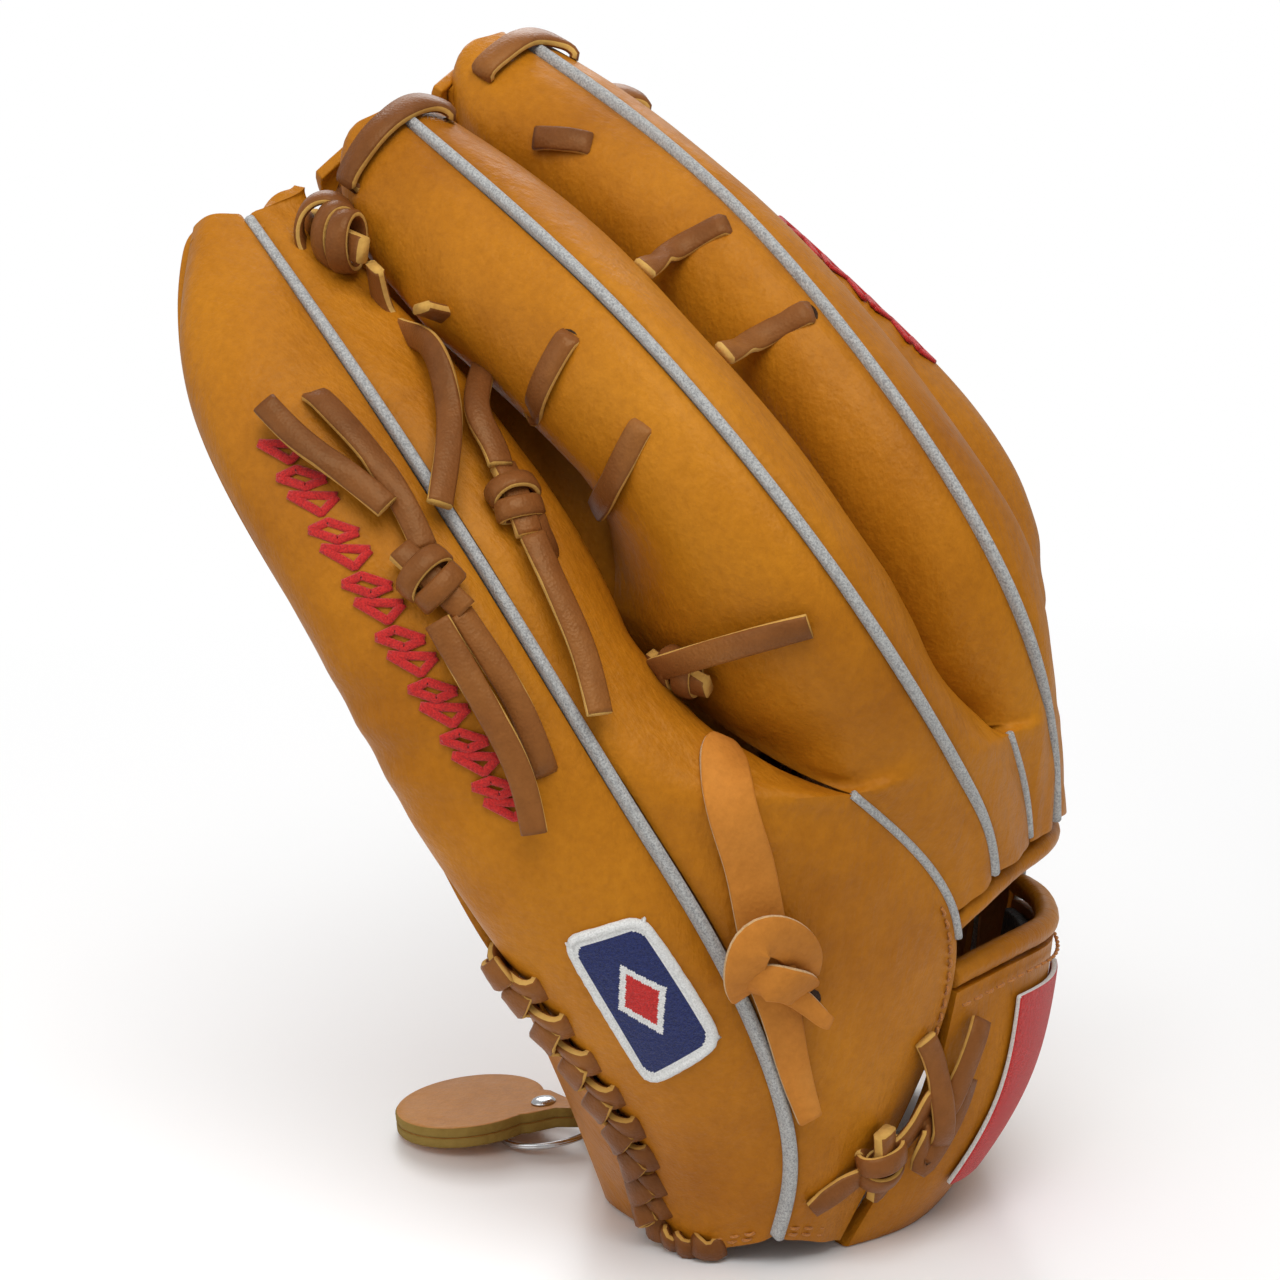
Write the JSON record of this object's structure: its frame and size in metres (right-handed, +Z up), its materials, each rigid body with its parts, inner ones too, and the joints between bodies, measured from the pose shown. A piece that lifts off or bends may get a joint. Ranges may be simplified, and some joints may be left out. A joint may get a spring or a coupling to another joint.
{
  "type": "baseball glove",
  "caption": "Leather fielding glove standing on its heel: finger stalls, laced web, padded palm, wrist strap, and a leather tag on a split ring.",
  "frame": {"origin": "centre of the bounding box, on the ground under the heel", "axes": "+Z up along the fingers, +Y out of the palm towards the ball, +X towards the thumb"},
  "size_m": [0.2716, 0.2001, 0.2897],
  "materials": {
    "binding_leather": "satin",
    "fleece": "matt",
    "lace_leather": "satin",
    "lining_leather": "matt",
    "pad_felt": "matt",
    "patch_fabric": "matt",
    "red_thread": "satin",
    "shell_leather": "satin",
    "steel": "polished",
    "suede": "matt",
    "tag_leather": "satin",
    "welt_felt": "matt"
  },
  "bodies": {
    "finger_half": {"back_lining": "lining_leather", "back_seam_welts": "welt_felt", "crotch_knot": "lace_leather", "finger_gap_lacing": "lace_leather", "fingertip_knot": "lace_leather", "fingertip_lace_tail": "lace_leather", "fingertip_lacing": "lace_leather", "gap_knot": "lace_leather", "gap_lace_tail_lower": "lace_leather", "gap_lace_tail_upper": "lace_leather", "heel_lacing": "lace_leather", "heel_pad_pinky_side": "pad_felt", "heel_patch": "patch_fabric", "index_inner_panel": "shell_leather", "index_outer_panel": "shell_leather", "index_welt": "welt_felt", "middle_inner_panel": "shell_leather", "middle_outer_panel": "shell_leather", "middle_welt": "welt_felt", "opening_binding": "binding_leather", "palm_crease_leather": "shell_leather", "palm_leather_finger_side": "shell_leather", "palm_lining": "lining_leather", "panel_knot": "lace_leather", "panel_lace_tail_lower": "lace_leather", "panel_lace_tail_upper": "lace_leather", "pinky_embroidery": "red_thread", "pinky_finger_pad": "pad_felt", "pinky_inner_panel": "shell_leather", "pinky_outer_panel": "shell_leather", "pinky_welt": "welt_felt", "ring_inner_panel": "shell_leather", "ring_outer_panel": "shell_leather", "ring_welt": "welt_felt", "strap_fleece": "fleece", "strap_knot": "lace_leather", "strap_lacing": "lace_leather", "strap_patch": "red_thread", "strap_top_binding": "binding_leather", "suede_tie": "suede", "tag_lace_loop": "lace_leather", "thumb_seam_welt": "welt_felt", "web_base_bar": "shell_leather", "web_crossbar": "shell_leather", "web_lacing": "lace_leather", "web_post_index": "shell_leather", "wrist_strap": "shell_leather"},
    "thumb_half": {"heel_pad_thumb_side": "pad_felt", "palm_leather_thumb_side": "shell_leather", "thumb_finger_pad": "pad_felt", "thumb_inner_panel": "shell_leather", "thumb_lining": "lining_leather", "thumb_outer_panel": "shell_leather", "thumb_welt": "welt_felt", "web_post_thumb": "shell_leather"},
    "ring": {"split_ring": "steel"},
    "tag": {"tag_lower_ply": "tag_leather", "tag_rivet": "steel", "tag_upper_ply": "tag_leather"}
  },
  "joints": [
    {"name": "thumb_fold", "type": "hinge", "parent": "finger_half", "child": "thumb_half", "pos_m": [0.0418, -0.0525, 0], "axis": [0.1121, -0.032, 0.9932], "range_deg": [-6, 6], "deforming": ["palm_crease_leather", "web_crossbar", "web_base_bar", "web_lacing"]},
    {"name": "ring_swing", "type": "hinge", "parent": "finger_half", "child": "ring", "pos_m": [-0.01729, 0.03186, 0.00427], "axis": [-0.5488, -0.8296, 0.1024], "range_deg": [0, 25]},
    {"name": "tag_swing", "type": "hinge", "parent": "ring", "child": "tag", "pos_m": [-0.0252, 0.0265, 0.0048], "axis": [0.9788, 0.205, 0], "range_deg": [0, 25]}
  ]
}
